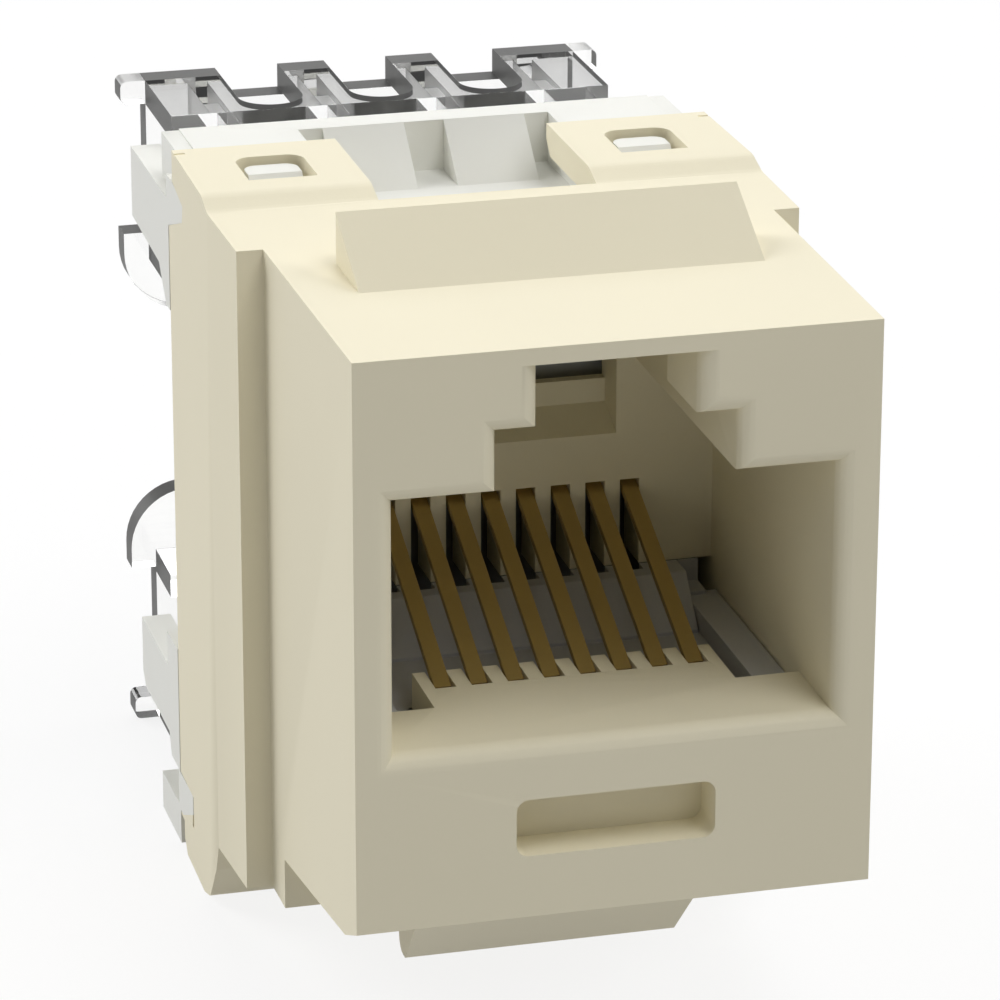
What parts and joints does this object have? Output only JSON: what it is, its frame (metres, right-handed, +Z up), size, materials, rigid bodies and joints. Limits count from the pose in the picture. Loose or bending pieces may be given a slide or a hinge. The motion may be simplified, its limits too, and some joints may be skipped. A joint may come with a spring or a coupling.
{
  "type": "keystone jack",
  "caption": "Ivory snap-in modular jack with stepped plug socket, gold spring contacts, white rear wire block and clear wire cap",
  "frame": {"origin": "centre of the wall-plate opening in the plane of the panel's rear face, where the flange bears on it", "axes": "+X across the face to the right when facing the socket, +Y away from the plug towards the wires, +Z up with the snap ridge on top"},
  "size_m": [0.016, 0.0298, 0.0231],
  "materials": {
    "ivory_plastic": "fine satin moulded ivory plastic",
    "white_plastic": "satin white moulded plastic",
    "clear_plastic": "polished clear polycarbonate",
    "grey_plastic": "grey moulded plastic",
    "gold_contact": "gold-plated spring wire",
    "board_green": "solder mask over glass laminate",
    "tinned_terminal": "tin-plated copper alloy"
  },
  "bodies": {
    "jack": {"housing": "ivory_plastic", "contact_carrier": "grey_plastic", "contact_1": "gold_contact", "contact_2": "gold_contact", "contact_3": "gold_contact", "contact_4": "gold_contact", "contact_5": "gold_contact", "contact_6": "gold_contact", "contact_7": "gold_contact", "contact_8": "gold_contact", "circuit_board": "board_green", "wire_block": "white_plastic", "idc_terminal_1": "tinned_terminal", "idc_terminal_2": "tinned_terminal", "idc_terminal_3": "tinned_terminal", "idc_terminal_4": "tinned_terminal", "idc_terminal_5": "tinned_terminal", "idc_terminal_6": "tinned_terminal", "idc_terminal_7": "tinned_terminal", "idc_terminal_8": "tinned_terminal"},
    "cap": {"wire_cap": "clear_plastic"}
  },
  "joints": [
    {"name": "cap_slide", "type": "slide", "parent": "jack", "child": "cap", "axis": [0, 1, 0], "range_m": [-0.0024, 0.008]}
  ]
}
